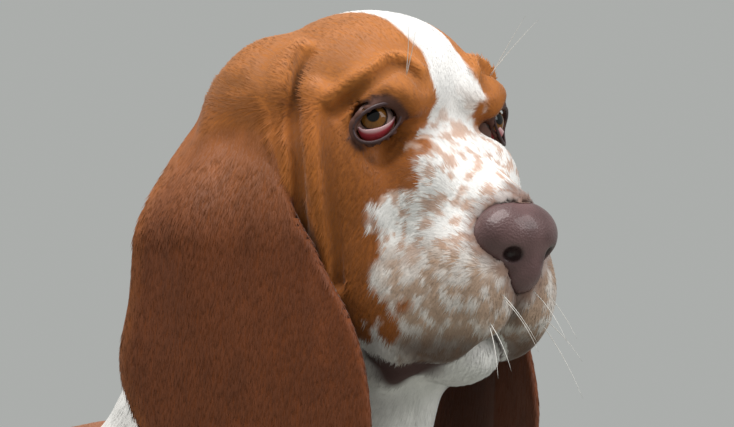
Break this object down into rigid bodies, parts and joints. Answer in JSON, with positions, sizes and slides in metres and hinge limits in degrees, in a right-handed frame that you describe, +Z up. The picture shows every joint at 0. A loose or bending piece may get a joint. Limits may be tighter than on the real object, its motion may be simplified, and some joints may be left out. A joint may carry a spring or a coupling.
{
  "type": "basset hound dog figure",
  "caption": "Life-size basset hound standing still, with long hanging ears, drooping lids, folded face, short heavy legs and a raised tail.",
  "frame": {"origin": "on the ground under the middle of the bounding box", "axes": "+X towards the nose, +Y to the dog's left, +Z up"},
  "size_m": [0.999, 0.2658, 0.5926],
  "materials": {
    "coat_tan": "short tan fur",
    "coat_red": "short mahogany fur",
    "coat_white": "short white fur",
    "nose_leather": "moist pebbled liver-brown skin",
    "eye": "wet amber-brown eye"
  },
  "bodies": {
    "root": {"eye_left": "eye", "eye_right": "eye", "head": "coat_tan", "lower_jaw": "coat_white", "nose": "nose_leather", "tail": "coat_tan", "thigh_left": "coat_tan", "hind_shank_left": "coat_white", "foreleg_left": "coat_white", "fore_paw_left": "coat_white", "hind_paw_left": "coat_white", "thigh_right": "coat_tan", "hind_shank_right": "coat_white", "foreleg_right": "coat_white", "fore_paw_right": "coat_white", "hind_paw_right": "coat_white", "neck": "coat_white", "chest": "coat_tan", "loins": "coat_tan", "ear_left": "coat_red", "ear_right": "coat_red"}
  },
  "joints": []
}
